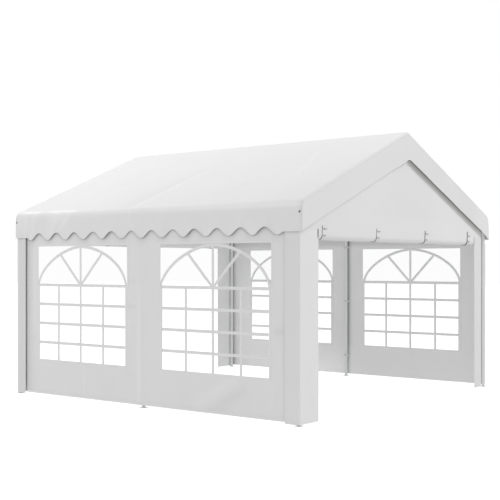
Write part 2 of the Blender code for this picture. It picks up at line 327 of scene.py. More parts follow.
def fold_line(u, v, start, end, width):
    """A fold's height, 0 to 1: the bell curve of the distance from the line through start and
    end, times the share along it raised as sin^0.5, so that it fades out at both ends.
    """
    start, end = np.array(start, float), np.array(end, float)
    reach = np.hypot(*(end - start))
    run = (end - start) / reach
    along = ((u - start[0]) * run[0] + (v - start[1]) * run[1]) / reach
    aside = (u - start[0]) * -run[1] + (v - start[1]) * run[0]
    fade = np.sqrt(np.clip(np.sin(math.pi * np.clip(along, 0, 1)), 0, None))
    return bell(aside, 0.0, width) * fade


# Surfaces as patches: points, their flat places in metres, and quads


def patch(points, flat, keep=None, flip=False):
    """A grid of points as a patch. Corner (i, j) makes a quad with (i, j + 1),
    (i + 1, j + 1) and (i + 1, j), where keep, if given, is true. flip turns the faces over.
    """
    rows, columns = points.shape[:2]
    at = np.arange(rows * columns).reshape(rows, columns)
    quads = np.stack((at[:-1, :-1], at[:-1, 1:], at[1:, 1:], at[1:, :-1]), axis=-1)
    quads = quads[keep] if keep is not None else quads.reshape(-1, 4)
    return points.reshape(-1, 3), flat.reshape(-1, 2), quads[:, ::-1] if flip else quads


def used_points(made, *values):
    """A patch without the points that no quad uses, and the same points of each value."""
    points, flat, quads = made
    used = np.zeros(len(points), bool)
    used[quads.ravel()] = True
    number = np.cumsum(used) - 1
    return (points[used], flat[used], number[quads]), *(v.ravel()[used] for v in values)


def lid(loop, outward):
    """Closes a loop of points: a fan from their mean, looking along outward."""
    middle = np.broadcast_to(loop.mean(axis=0), loop.shape)
    facing = np.cross(loop - middle, np.roll(loop, -1, axis=0) - middle).sum(axis=0)
    rows = np.stack((loop, middle))
    rows = np.concatenate((rows, rows[:, :1]), axis=1)
    return patch(rows, np.zeros((2, rows.shape[1], 2)), flip=facing @ outward <= 0)


def turning(section):
    """Twice the area inside a loop of (a, b) points, positive where it runs from a to b."""
    a, b = section.T
    return float((a * np.roll(b, -1) - b * np.roll(a, -1)).sum())


def carried(section, path, side, up, closed=False, size=1.0):
    """A closed section carried along a path: its point (a, b) goes to path + a side + b up,
    times size, which is one number or one at each point. The flat place is the length round
    the section and the length along the path. An open path gets a lid at each end.
    """
    section = np.concatenate((section, section[:1]))
    side, up = np.broadcast_to(side, path.shape), np.broadcast_to(up, path.shape)
    size = np.broadcast_to(size, len(path))
    if closed:
        path, side, up, size = (np.concatenate((a, a[:1])) for a in (path, side, up, size))
    spread = section[:, :1] * side[:, None] + section[:, 1:] * up[:, None]
    points = path[:, None] + size[:, None, None] * spread
    flat = together(*np.meshgrid(lengths(section), lengths(path)))
    ahead = path[1] - path[0]
    skin = patch(points, flat, flip=np.cross(side[0], up[0]) @ ahead * turning(section) > 0)
    if closed:
        return [skin]
    return [skin, lid(points[0, :-1], -ahead), lid(points[-1, :-1], path[-1] - path[-2])]


def rounded_bar(width, thick):
    """Section of a flat strap with its four edges cut back by a third of its thickness."""
    a, b, cut = width / 2, thick / 2, thick / 3
    back = np.array([(-a, -b + cut), (-a + cut, -b), (a - cut, -b), (a, -b + cut)])
    return np.concatenate((back, -back))


def circle(radius, count):
    """Section of a round bar: radius times (cos, sin) of even turns."""
    turn = np.arange(count) * math.tau / count
    return radius * together(np.cos(turn), np.sin(turn))


def strap(path, face, width, thick, size=1.0):
    """A flat strap along a path. Its width lies square to both the path and face, and its
    back lies on the path, so that its middle is half its thickness out along face. size
    scales its section, at each point or all along.
    """
    face = np.broadcast_to(face, path.shape)
    size = np.broadcast_to(size, len(path))
    side = unit(np.cross(face, np.gradient(path, axis=0)))
    middle = path + face * (thick / 2) * size[:, None]
    return carried(rounded_bar(width, thick), middle, side, face, size=size)


def band(near, far, out, rise, closed=False):
    """A raised strip between two lines of points, such as a hem: from near up by rise along
    out, across with slightly rounded shoulders, and down to far.
    """
    lift = np.broadcast_to(out, near.shape) * rise
    across = far - near
    width = np.linalg.norm(across, axis=1, keepdims=True)
    shoulder = across / width * rise
    loop = [near - lift, near + lift * 0.5, near + shoulder + lift]
    loop += [far - shoulder + lift, far + lift * 0.5, far - lift]
    points = np.stack([*loop, loop[0]], axis=1)
    if closed:
        points = np.concatenate((points, points[:1]))
    around = np.array([0, 0.5, 1, 2, 2.5, 3, 5]) * width.mean()
    flat = together(*np.meshgrid(around, lengths(points[:, 2])))
    ahead = near[1] - near[0]
    made = patch(points, flat, flip=np.cross(across[0], lift[0]) @ ahead > 0)
    if closed:
        return [made]
    return [made, lid(points[0, :-1], -ahead), lid(points[-1, :-1], near[-1] - near[-2])]


def thickened(points, quads, thick):
    """A sheet given its thickness. Each point's normal is the sum of its quads' diagonal cross
    products, the inner side lies thick back along it, and a rim quad closes each edge that
    only one quad uses. Gives all points, the inner side's quads and the rim's.
    """
    corner = points[quads]
    facing = np.cross(corner[:, 2] - corner[:, 0], corner[:, 3] - corner[:, 1])
    normal = np.zeros_like(points)
    for place in range(4):
        np.add.at(normal, quads[:, place], facing)
    normal /= np.maximum(np.linalg.norm(normal, axis=1, keepdims=True), 1e-12)
    count = len(points)
    start = quads.ravel()
    end = np.roll(quads, -1, axis=1).ravel()
    lone = ~np.isin(start * count + end, end * count + start)
    start, end = start[lone], end[lone]
    rim = np.stack((end, start, start + count, end + count), axis=1)
    return np.concatenate((points, points - thick * normal)), quads[:, ::-1] + count, rim


def placed(name, data):
    """A new object of that mesh, light or camera, in the scene."""
    made = bpy.data.objects.new(name, data)
    bpy.context.scene.collection.objects.link(made)
    return made


def piece(name, patches, finish, nodes=(), shade=None, thick=None, inside=None):
    """One object from patches: their points run on, those that share a place become one, and
    the flat places become its UV map. shade and inside mark the cloth's outer and inner side,
    from -1 for a painted highlight to 1 for painted shade or a darker seam, one array for each
    patch.
    """
    counts = np.cumsum([0] + [len(made[0]) for made in patches])
    points, flat = (np.concatenate([made[part] for made in patches]) for part in (0, 1))
    quads = np.concatenate([made[2] + start for made, start in zip(patches, counts)])
    outer = np.zeros(len(points)) if shade is None else np.concatenate([m.ravel() for m in shade])
    lining = outer if inside is None else np.concatenate([m.ravel() for m in inside])
    places = np.round(points / MERGE).astype(np.int64)
    _, first, index = np.unique(places, axis=0, return_index=True, return_inverse=True)
    faces = index.reshape(-1)[quads]
    points, outer, lining = points[first], outer[first], lining[first]
    corners = flat[quads]
    if thick is not None:
        points, inner, rim = thickened(points, faces, thick)
        rim_flat = flat[first][np.where(rim < len(first), rim, rim - len(first))]
        corners = np.concatenate((corners, corners[:, ::-1], rim_flat))
        faces = np.concatenate((faces, inner, rim))
        outer = np.concatenate((outer, lining))
    kept = faces != np.roll(faces, -1, axis=1)
    sizes = kept.sum(axis=1)
    kept &= sizes[:, None] > 2
    sizes = sizes[sizes > 2]
    mesh = bpy.data.meshes.new(name)
    mesh.vertices.add(len(points))
    mesh.vertices.foreach_set("co", points.ravel())
    mesh.loops.add(int(sizes.sum()))
    mesh.loops.foreach_set("vertex_index", faces[kept])
    mesh.polygons.add(len(sizes))
    mesh.polygons.foreach_set("loop_start", np.cumsum(np.append(0, sizes[:-1])))
    mesh.update(calc_edges=True)
    mesh.uv_layers.new(name="cloth").uv.foreach_set("vector", corners[kept].ravel())
    mesh.attributes.new("shade", "FLOAT", "POINT").data.foreach_set("value", outer)
    mesh.shade_smooth()
    mesh.set_sharp_from_angle(angle=math.radians(50))
    mesh.materials.append(finish)
    made = placed(name, mesh)
    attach(made, "root")
    if nodes:
        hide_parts(*nodes)
    return made


# Finishes


def feed(tree, socket, value):
    """Gives an input socket a value, or a link from another node's output."""
    if isinstance(value, bpy.types.NodeSocket):
        tree.links.new(value, socket)
    else:
        socket.default_value = value


def shader_node(tree, kind, output, inputs, **settings):
    """One node of a tree with its settings and its inputs. Gives its output's socket."""
    made = tree.nodes.new("ShaderNode" + kind)
    for name, value in settings.items():
        setattr(made, name, value)
    for name, value in inputs.items():
        feed(tree, made.inputs[name], value)
    return made.outputs[output] if output is not None else None


class Finish:
    """A Principled finish. set, mottle and uneven_gloss change its own inputs, and every other
    method gives the socket of a node that it makes.
    """

    def __init__(self, name, colour, roughness, metallic=0.0):
        self.material = bpy.data.materials.new(name)
        self.material.use_nodes = True
        self.tree = self.material.node_tree
        self.colour, self.roughness = colour, roughness
        self.places = {}
        self.set("Base Color", (*colour, 1.0))
        self.set("Roughness", roughness)
        self.set("Metallic", metallic)

    def set(self, name, value):
        """Gives one of the finish's own inputs a value or a socket."""
        feed(self.tree, self.tree.nodes["Principled BSDF"].inputs[name], value)

    def node(self, kind, output, inputs, **settings):
        """A node of the finish's own tree."""
        return shader_node(self.tree, kind, output, inputs, **settings)

    def place(self, kind, output, **settings):
        """The finish's one node of a kind that gives places, made on the first call."""
        if kind not in self.places:
            self.places[kind] = self.node(kind, output, {}, **settings)
        return self.places[kind]

    def noise(self, scale, detail):
        """Noise at the piece's own places in metres."""
        here = self.place("TexCoord", "Object")
        return self.node("TexNoise", "Fac", {"Vector": here, "Scale": scale, "Detail": detail})

    def threads(self, direction, pitch):
        """Bands one thread apart. A wave texture's bands are 2 pi / 20 apart at scale 1."""
        flat = self.place("UVMap", "UV", uv_map="cloth")
        inputs = {"Vector": flat, "Scale": math.tau / 20 / pitch}
        return self.node("TexWave", "Fac", inputs, bands_direction=direction)

    def arithmetic(self, operation, first, second):
        """That operation on two values or sockets."""
        return self.node("Math", "Value", {0: first, 1: second}, operation=operation)

    def between(self, share, low, high):
        """A value that runs from low to high as share runs from 0.3 to 0.7."""
        inputs = {"Value": share, "From Min": 0.3, "From Max": 0.7, "To Min": low, "To Max": high}
        return self.node("MapRange", "Result", inputs)

    def blend(self, share, first, second):
        """The first colour or socket where share is 0, and the second where it is 1."""
        made = self.tree.nodes.new("ShaderNodeMix")
        made.data_type = "RGBA"
        feed(self.tree, made.inputs["Factor"], share)
        sockets = [socket for socket in made.inputs if socket.type == "RGBA"]
        for socket, colour in zip(sockets, (first, second)):
            feed(self.tree, socket, (*colour, 1.0) if isinstance(colour, tuple) else colour)
        return next(socket for socket in made.outputs if socket.type == "RGBA")

    def bump(self, height, strength, distance, under=None):
        """A relief of that height, over another relief if one lies under it."""
        inputs = {"Height": height, "Strength": strength, "Distance": distance}
        if under is not None:
            inputs["Normal"] = under
        return self.node("Bump", "Normal", inputs)

    def mottle(self, cloud, share):
        """Lets the base colour run down to a share of itself with the cloud."""
        darker = tuple(share * value for value in self.colour)
        self.set("Base Color", self.blend(cloud, self.colour, darker))

    def uneven_gloss(self, cloud, less, more):
        """Lets the roughness run from less below its own value to more above it."""
        self.set("Roughness", self.between(cloud, self.roughness - less, self.roughness + more))


def coated_cloth(name, light, roughness, pitch):
    """Coated woven cloth. Slow patches run from light to a little darker. The piece's shade
    marks take its darker seams and painted shade to grey, and below zero its painted
    highlights to a brighter white. The threads run along its flat places, over small creases.
    """
    cloth = Finish(name, (light, light, light), roughness)
    dark = (light - PATCH_DARKER,) * 3
    marks = cloth.node("Attribute", "Fac", {}, attribute_name="shade")
    tone = cloth.blend(cloth.between(cloth.noise(0.9, 3.0), 0.0, 1.0), cloth.colour, dark)
    # Painted shade and darker seams go towards grey, painted highlights below zero towards white
    tone = cloth.blend(marks, tone, SEAM_AND_SHADE_GREY)
    rubbed = cloth.arithmetic("MULTIPLY", marks, -1.0)
    cloth.set("Base Color", cloth.blend(rubbed, tone, HIGHLIGHT_WHITE))
    cloth.uneven_gloss(cloth.noise(14.0, 4.0), 0.05, 0.07)
    cloth.set("Specular IOR Level", 0.35)
    creased = cloth.bump(cloth.noise(5.0, 5.0), 0.35, 0.004)
    warp, weft = cloth.threads("X", pitch), cloth.threads("Y", pitch)
    weave = cloth.arithmetic("MAXIMUM", warp, weft)
    cloth.set("Normal", cloth.bump(weave, 0.5, 0.00012, creased))
    return cloth.material


def powder_coat(name, colour, roughness):
    """Powder-coated steel: a fine orange-peel skin with slightly uneven gloss."""
    coat = Finish(name, colour, roughness)
    coat.mottle(coat.noise(6.0, 4.0), 0.94)
    coat.uneven_gloss(coat.noise(40.0, 3.0), 0.06, 0.08)
    rounded = coat.node("Bevel", "Normal", {"Radius": 0.004}, samples=4)
    coat.set("Normal", coat.bump(coat.noise(900.0, 2.0), 0.25, 0.0004, rounded))
    coat.set("Coat Weight", 0.25)
    coat.set("Coat Roughness", 0.2)
    return coat.material


def clear_film(name, alpha):
    """Soft clear vinyl: almost see-through, smooth, with slow ripples."""
    film = Finish(name, (0.96, 0.98, 1.0), 0.08)
    film.uneven_gloss(film.noise(7.0, 3.0), 0.03, 0.06)
    film.set("Alpha", alpha)
    film.set("Normal", film.bump(film.noise(4.0, 2.0), 0.4, 0.006))
    return film.material


def webbing(name, colour, roughness, pitch):
    """Close-woven strap: ribs across it, one thread apart, and a mottled tone."""
    web = Finish(name, colour, roughness)
    web.mottle(web.noise(60.0, 3.0), 0.75)
    web.set("Normal", web.bump(web.threads("Y", pitch), 0.6, 0.0003))
    return web.material


def plain_finish(name, colour, roughness, metallic, grain):
    """Moulded or plated small parts: a slightly uneven tone and gloss at the grain's scale."""
    part = Finish(name, colour, roughness, metallic)
    cloud = part.noise(grain, 3.0)
    part.mottle(cloud, 0.85)
    part.uneven_gloss(cloud, 0.05, 0.1)
    return part.material


# White of painted highlights, and grey of painted shade and darker seams
HIGHLIGHT_WHITE = (0.955, 0.955, 0.955)
SEAM_AND_SHADE_GREY = (0.28, 0.28, 0.27)
PATCH_DARKER = 0.02
ROOF_CLOTH = coated_cloth("white_roof_cloth", 0.83, 0.50, 0.0016)
WALL_CLOTH = coated_cloth("white_wall_cloth", 0.835, 0.56, 0.0013)
HEM_CLOTH = coated_cloth("white_hem_tape", 0.835, 0.58, 0.0009)
BAR_PRINT = plain_finish("printed_window_bars", (0.89, 0.89, 0.89), 0.50, 0.0, 30.0)
FILM = clear_film("clear_window_film", 0.035)
STEEL = powder_coat("white_powder_coat", (0.80, 0.81, 0.82), 0.34)
TIE_WEB = webbing("black_tie_webbing", (0.02, 0.02, 0.02), 0.7, 0.0012)
STRAP_WEB = webbing("white_post_strap", (0.76, 0.76, 0.76), 0.65, 0.0012)
TOGGLE = plain_finish("grey_moulded_toggle", (0.40, 0.40, 0.34), 0.45, 0.0, 80.0)
EYELET = plain_finish("nickel_eyelet", (0.62, 0.62, 0.62), 0.28, 1.0, 200.0)
# A black disc of painted shade stands for each eyelet's open hole
EYELET_HOLE_SHADE = plain_finish("eyelet_hole_painted_shade", (0.01, 0.01, 0.01), 0.8, 0.0, 200.0)


# Roof cover


def scallop_edge(y):
    """Height of a side valance's lower edge: the middle height less the swing times
    cos(2 pi y / pitch), and flat past the last lobe.
    """
    middle = (LOBE_LOW + NOTCH_HIGH) / 2
    swing = (NOTCH_HIGH - LOBE_LOW) / 2
    rise = math.acos((middle - VALANCE_FLAT) / swing) / math.tau * LOBE_PITCH
    last = (LOBE_COUNT - 1) * LOBE_PITCH / 2 + rise
    wave = middle - swing * np.cos(math.tau * y / LOBE_PITCH)
    return np.where(np.abs(y) > last, VALANCE_FLAT, wave)


def roof_section(y):
    """The cover's outer line across the tent at each station y, from the left valance's lower
    edge over the ridge to the right one's. Round the ridge a point is the rail's centre plus
    the radius times (sin, cos) of its turn from upright. The eave's fold is the parabola
    (1 - t)^2 S + 2 t (1 - t) C + t^2 E, where C is the crease, S lies reach up the slope, less
    at the posts, and E lies EAVE_DROP times reach below C. Gives each column's turn, x, z at
    the eave or above, share of the hanging valance, and flat place across.
    """
    reach = EAVE_REACH + EAVE_SLACK * np.abs(np.sin(math.pi * y / POST_Y)) ** 0.6
    reach = reach[:, None]
    rise, run = math.sin(PITCH), math.cos(PITCH)
    over_ridge = np.linspace(0, PITCH, 4)
    ridge_x = RIDGE_RADIUS * np.sin(over_ridge)
    ridge_z = RIDGE_CREASE - RIDGE_RADIUS / run + RIDGE_RADIUS * np.cos(over_ridge)
    ridge = together(ridge_x + 0 * reach, ridge_z)
    fold = np.linspace(0, 1, 11)
    above, below = (1 - fold) ** 2 * reach, fold**2 * EAVE_DROP * reach
    eave = together(HALF_WIDTH - above * run, EAVE_CREASE + above * rise - below)
    over_eave = np.arctan2((1 - fold) * rise + fold * EAVE_DROP, (1 - fold) * run)
    share = np.append(np.arange(1, SLOPE_COLUMNS), (SLOPE_COLUMNS - 0.6, SLOPE_COLUMNS - 0.25))
    share = share[:, None] / SLOPE_COLUMNS
    slope = ridge[:, -1:] + share * (eave[:, :1] - ridge[:, -1:])
    hanging = np.repeat(eave[:, -1:], HANG_COLUMNS, axis=1)
    line = np.concatenate((ridge, slope, eave, hanging), axis=1)
    x, z = line[..., 0], line[..., 1]
    above_hang = np.zeros(line.shape[1] - HANG_COLUMNS)
    hang = np.append(above_hang, np.linspace(0, 1, HANG_COLUMNS + 1)[1:])
    on_slope = np.full(len(share), PITCH)
    upright = np.full(HANG_COLUMNS, math.pi / 2)
    turn = np.concatenate((over_ridge, on_slope, over_eave, upright))
    steps = np.hypot(np.diff(x), np.diff(z - hang * (z[:, -1:] - VALANCE_FLAT)))
    across = np.concatenate((0 * reach, np.cumsum(steps, axis=1)), axis=1)

    def both(part, sign):
        """The right half, with its mirror image times sign before it."""
        return np.concatenate((sign * part[..., :0:-1], part), axis=-1)

    return both(turn, -1), both(x, -1), both(z, 1), both(hang, 1), both(across, -1)


def slope_folds(side, along, narrow=1.0):
    """Height of a slope's folds, at a way down from the ridge and a place along the tent."""
    return sum(
        height * fold_line(side, along, start, end, narrow * width)
        for start, end, width, height in ROOF_FOLDS
    )


def valance_folds(side, along, narrow=1.0):
    """Height of a side valance's folds: bell curves across each, most at the belly's level."""
    folds = sum(
        height * bell(along, place + lean * (side - FOLD_LEVEL), narrow * width)
        for place, lean, width, height in VALANCE_FOLDS
    )
    return folds * bell(side, FOLD_BELLY, FOLD_FALL)


def cover_lift(across, y, hang):
    """How far the roof cloth stands off its taut line, along its normal. Between the rafters
    it sags by the product of |sin|^0.8 along the tent and sin^0.7 down the slope. A crest
    follows the middle rafter with a slack hollow beside it, folds run down from the ridge, the
    eave is pinched up in places, the hanging valance swings out in soft waves that grow
    downwards and flares at the corners, and the slope droops past the end rafters.
    """
    past = HALF_LENGTH - np.abs(y)
    above = 1 - np.clip(hang * 3, 0, 1)
    span = np.sin(math.pi * np.clip(np.abs(across) / SLOPE_FOOT, 0, 1))
    bay = np.abs(np.sin(math.pi * y / POST_Y)) ** 0.8
    lift = -SAG * bay * np.clip(span, 0, 1) ** 0.7
    lift += 0.0011 * ripple(y, across, 3, 0.42) * span**0.4
    for side, along in ((-across, y), (across, -y)):
        off = along - (CREST_LEAN * side + CREST_START)
        grow = np.clip(side / 1.2, 0, 1) ** 0.8 * (0.25 + 0.75 * above)
        lift += grow * (0.0026 * bell(off, 0.0, CREST_WIDTH) - 0.0030 * hollow(off, 0.070))
        lift += slope_folds(side, along) + valance_folds(side, along)
        for place, reach, height in EAVE_PINCHES:
            lift += height * bell(along, place, reach, 6) * bell(side, 2.085, 0.016)
    waves = ripple(y - 0.4 * across, across * 0.2, 11, 0.34, lean=0.4)
    fine = ripple(y - 0.6 * across, across * 0.1, 17, 0.13, lean=0.4)
    end_hold = ramp(past, 0.0, 0.30) ** 0.6
    lift += hang**1.2 * end_hold * (0.0035 + 0.0030 * waves + 0.0012 * fine)
    lift -= SEAM_DROOP * ramp(past, 0.034, -0.024) * above
    return lift + CORNER_FLARE * ramp(across, 2.12, 0.13) * ramp(past, 0.5, -0.5)


def cover_seams_and_painted_light(across, y):
    """Marks of the cover: darker along the gable seams, painted light on the side valances, more
    at the left one's front, painted highlights on the crest over the middle rafter, along the
    folds, on the pinched stretches of the eave, on the front bay's eave and on the stretches of
    valance in VALANCE_GLEAMS, painted shade in a soft hollow beside the middle crest, and dark
    painted shade for the opening of each side valance's corner seam.
    """
    past = HALF_LENGTH - np.abs(y) + 0 * across
    shade = 0.10 * bell(past, 0.018, 0.012)
    for side, along in ((-across, y), (across, -y)):
        off = along - (CREST_LEAN * side + CREST_START)
        run = ramp(side, 0.75, 0.7) * ramp(side, VALANCE_TOP, -0.12)
        # Painted highlight on the crest, painted shade in the hollow beside it
        shade += run * (0.045 * hollow(off, 0.090) - 0.80 * bell(off, 0.0, CREST_MARK))
        # Painted highlights along the slope's folds
        shade -= SLOPE_FOLD_HIGHLIGHT * slope_folds(side, along, 0.9)
        fallen = ramp(side, VALANCE_TOP, 0.03)
        front = np.clip(0.5 - along / 4, 0, 1)
        # Painted light on the valance and a painted highlight on the eave's fold, more at the
        # front
        shade -= fallen * (0.02 + 0.16 * front)
        shade -= 0.72 * front * bell(side, 2.160, 0.028)
        lit = fallen * ramp(side, 2.38, -0.16)
        # Painted highlights on the valance's gleaming stretches and along its folds
        for place, reach in VALANCE_GLEAMS:
            middle = place + 0.45 * (2.04 - place) * (side - FOLD_LEVEL)
            shade -= 0.22 * lit * bell(along, middle, reach, 6)
        shade -= VALANCE_FOLD_HIGHLIGHT * valance_folds(side, along, 0.8)
        # Painted highlights on the pinched stretches of the eave
        for place, reach, _ in EAVE_PINCHES:
            shade -= 1.10 * bell(along, place, reach, 6) * bell(side, 2.120, 0.016)
        # Dark painted shade for the opening of the corner seam
        shade += 0.9 * ramp(along, 1.995, 0.020) * bell(side, 2.205, 0.050) ** 3
    return shade


def rake_edge(x):
    """Height of a gable valance's lower edge: straight from the apex to both corners, with
    the right half cut a little higher and the left half a little lower.
    """
    plain = VALANCE_FLAT + (GABLE_EDGE_APEX - VALANCE_FLAT) * (1 - np.abs(x) / HALF_WIDTH)
    right = ramp(x, 0.0, 0.050) * np.clip((HALF_WIDTH - x) / 0.20, 0.15, 1)
    left = ramp(-x, 0.0, 0.050) * ramp(x, -HALF_WIDTH, 0.20)
    return plain + RAKE_RAISE * right - 0.5 * RAKE_TUCK * left


def cover_rows(y):
    """Points of the cover's slopes and side valances at the stations y: the section's line,
    hung down to the scalloped edge, lifted along its normal.
    """
    turn, x, z, hang, across = roof_section(y)
    y = y[:, None]
    lift = cover_lift(across, y, hang)
    hung = z - hang * (z - scallop_edge(y))
    points = together(x + lift * np.sin(turn), y, hung + lift * np.cos(turn))
    return points, together(across, y), turn, across


def gable_valance(end, rim, turn, across):
    """The valance over a gable, with the rounded seam that joins it to the slopes. Round the
    seam a point is the seam's centre plus the radius times (normal cos + end sin) of the turn.
    Below it each column runs straight from the seam to its place on the lower edge.
    """
    normal = together(np.sin(turn), 0.0, np.cos(turn))
    facing = np.array([0.0, end, 0.0])
    bend = np.linspace(0, math.pi / 2, 5)[:, None, None]
    seam = rim - CORNER_RADIUS * normal
    seam = seam + CORNER_RADIUS * (normal * np.cos(bend) + facing * np.sin(bend))
    seam[0] = rim
    start = seam[-1]
    share = 1 - np.abs(across) / np.abs(across).max()
    edge_x = np.sign(across) * (HALF_WIDTH - CORNER_RADIUS) * (1 - share)
    low_x = edge_x + CORNER_FLARE * ramp(edge_x, HALF_WIDTH - 0.4, 0.4)
    left = ramp(-low_x, 0.0, 0.3) * ramp(share, 0.0, 0.12)
    low = together(low_x, end * (HALF_LENGTH - RAKE_TUCK * left), rake_edge(edge_x))
    fall = np.linspace(0, 1, 15)[:, None]
    sheet = start * (1 - fall[..., None]) + low * fall[..., None]
    wave = ripple(sheet[..., 0], sheet[..., 2] * 0.6, 23 + end, 0.45, lean=1.6)
    billow = fall * (1.6 - fall) * ramp(share, 0.0, 0.25)
    sheet[..., 1] += end * billow * (0.0020 + 0.0016 * wave)
    rows = np.concatenate((seam, sheet[1:]))
    x = rows[..., 0]
    shade = 0.10 * bell(np.linalg.norm(rows - start, axis=-1), 0.004, 0.007)
    # Painted shade over the right half, turning to painted light at the right tip
    shade += 0.075 * ramp(x, -1.1, 1.1) - 0.15 * ramp(x, 1.5, 0.4)
    return patch(rows, rows[..., ::2], flip=end < 0), shade, rows


def roof_cover():
    """One sewn cover: two slopes, scalloped side valances and a valance over each gable, with
    taped lower edges.
    """
    last_lobe = LOBE_COUNT / 2 * LOBE_PITCH
    reach = LOBE_COUNT * ROWS_PER_LOBE * 2
    even = np.arange(-reach, reach + 1, 4)
    rows = np.unique(np.concatenate((even, CREST_ROWS, FOLD_ROWS)))
    ends = np.linspace(last_lobe, HALF_LENGTH - CORNER_RADIUS, 14)[1:]
    y = np.concatenate((-ends[::-1], rows * LOBE_PITCH / ROWS_PER_LOBE / 4, ends))
    points, flat, turn, across = cover_rows(y)
    patches = [patch(points, flat, flip=True)]
    shades = [cover_seams_and_painted_light(across, y[:, None])]
    edges = []
    for end, row in ((-1, 0), (1, -1)):
        made, mark, fall = gable_valance(end, points[row], turn, across[row])
        patches.append(made)
        shades.append(mark)
        edges.append(fall[-1])
    thick = COVER_CLOTH_THICK
    nodes = ["roof_cover"]
    cover = piece("roof_cover_cloth", patches, ROOF_CLOTH, nodes, shades, thick)
    cover_hems(points, edges)


def cover_hems(points, edges):
    """Edge tape sewn along the scallops and the gable valances' lower edges."""
    made = []
    for column, inner, sign in ((0, 1, -1), (-1, -2, 1)):
        low, above = points[:, column], points[:, inner]
        out = np.array([sign, 0.0, 0.0])
        up = unit(np.cross(out, np.gradient(low, axis=0)))
        up *= np.sign((up * (above - low)).sum(axis=1, keepdims=True))
        made += band(low, low + up * HEM_TAPE, out, HEM_RISE)
    for low, end in zip(edges, (-1, 1)):
        half = len(low) // 2
        out = np.array([0.0, end, 0.0])
        for part in (low[: half + 1], low[half:]):
            up = unit(np.cross(out, part[-1] - part[0]))
            made += band(part, part + up * np.sign(up[2]) * HEM_TAPE, out, HEM_RISE)
    return piece("roof_cover_hems", made, HEM_CLOTH)


# Side walls


def wall_swing(sign, y, z):
    """How far a side wall's cloth stands out from its flat place: upright folds that grow
    towards the ground, the middle post showing through, the pull of the straps, creases, and
    the right wall's loose front edge.
    """
    side = y * -sign
    folds = 0.0012 * ripple(y * sign, z * 0.16, 31 + sign, 0.38, lean=0.5)
    swing = folds * (0.35 + 0.65 * ramp(z, 2.0, -2.0))
    swing += 0.0005 * ripple(y, z * 0.5, 41 + sign, 0.16, lean=1.2)
    swing += 0.0022 * bell(side, 0.030, 0.026) * ramp(z, 1.7, -0.5)
    for height in STRAP_HEIGHTS:
        swing -= 0.0026 * bell(z, height + 0.03, 0.030) * bell(side, 0.13, 0.060)
    for start, end, width, height in WALL_CREASES:
        swing += height * fold_line(side, z, start, end, width)
    if sign > 0:
        swing += 0.024 * (ramp(-y, 1.925, 0.060) * ramp(z, 1.79, -0.06)) ** 1.5
    return swing - 0.0006


def wall_seams_and_shade(sign, y, z, foot):
    """Marks of a side wall's outer side: painted shade and light along its creases and strap
    pulls, its darker hem and middle seam, and a painted shadow below the valance, deepest at
    the scallops' edge and just beside it, and fading out over 0.1. The left wall also has
    painted shade beside its corner flaps and towards its back end, less where it turns in.
    """
    marks = 0.10 * bell(z, foot + 0.024, 0.004) + 0.05 * bell(y, 0.0, 0.003)
    # Painted shade and light along the creases
    for start, end, width, depth in WALL_CREASE_SHADING:
        marks += depth * fold_line(y * -sign, z, start, end, width)
    edge = scallop_edge(y)
    shadow = np.minimum(edge, scallop_edge(y + 0.033 * sign))
    notch = ramp(edge, edge.min(), 0.030)
    # Painted shadow of the scallops on the wall
    marks += 0.42 * ramp(z - edge, -0.012, 0.014)
    marks += 0.20 * notch * ramp(z - edge, -0.040, 0.026)
    marks += 0.08 * ramp(z - shadow, -0.018, 0.012) + 0.08 * ramp(z - shadow, -0.100, 0.080)
    if sign < 0:
        # Painted shade beside the corner flaps and towards the back end, eased where the wall
        # turns in
        marks -= 0.24 * (wall_return(sign, y) > RETURN_DEPTH / 2)
        marks += 0.15 * bell(y, -1.840, 0.030)
        marks += 0.42 * np.exp(-np.abs(y - WALL_BACK) / 0.060)
    return marks


def wall_inner_painted_light(y, z):
    """Marks of a side wall's inner side: painted shade beside the posts and under the eave, and
    painted light low down where the floor's glow reaches it.
    """
    marks = 0.74 * bell(y, -0.020, 0.035) + 0.45 * bell(np.abs(y), 0.024, 0.010)
    marks += 1.6 * bell(y, -1.955, 0.030) * (y > -1.972) + bell(y, POST_Y, 0.045)
    marks += 0.45 * ramp(z, 1.71, 0.06)
    glow = 0.16 * np.clip(1.1 - y, -1, 1) + 1.50 * bell(y, 0.40, 0.42)
    return np.clip(0.62 * (marks - ramp(z, 0.46, -0.35) * glow), -1, 1)


def window_outline(centre, margin):
    """A window's outline in (y, z), margin outside its edge: grid below, wider arch light."""
    low, high = GRID_HALF_WIDTH + margin, ARCH_HALF_WIDTH + margin
    foot, spring, top = WINDOW_LOW - margin, WINDOW_SPRING - margin, WINDOW_HIGH + margin
    half = np.array([(low, foot), (low, spring), (high, spring), (high, top)])
    return np.roll(np.concatenate((half, half[::-1] * (-1, 1))), 1, axis=0) + (centre, 0.0)


def wall_return(sign, y):
    """How far the left wall's back end turns in, to be laced to its corner post: a smooth
    step inwards behind the corner flap's edge.
    """
    return RETURN_DEPTH * smooth(ramp(y, WALL_BACK - 0.002, 0.014)) if sign < 0 else 0 * y


def on_wall(sign, y, z):
    """Points on a side wall's outer face."""
    return together(sign * (WALL_OUTER - wall_return(sign, y) + wall_swing(sign, y, z)), y, z)


def dense(corners, others, step):
    """Other corners, with points between at the shares that lie step apart or less on each
    side of a closed outline of corners.
    """
    counts = np.hypot(*(np.roll(corners, -1, axis=0) - corners).T) / step
    counts = np.maximum(1, np.ceil(counts)).astype(int)
    side = np.repeat(np.arange(len(corners)), counts)
    share = (np.arange(len(side)) - (np.cumsum(counts) - counts)[side]) / counts[side]
    return others[side] * (1 - share[:, None]) + np.roll(others, -1, axis=0)[side] * share[:, None]


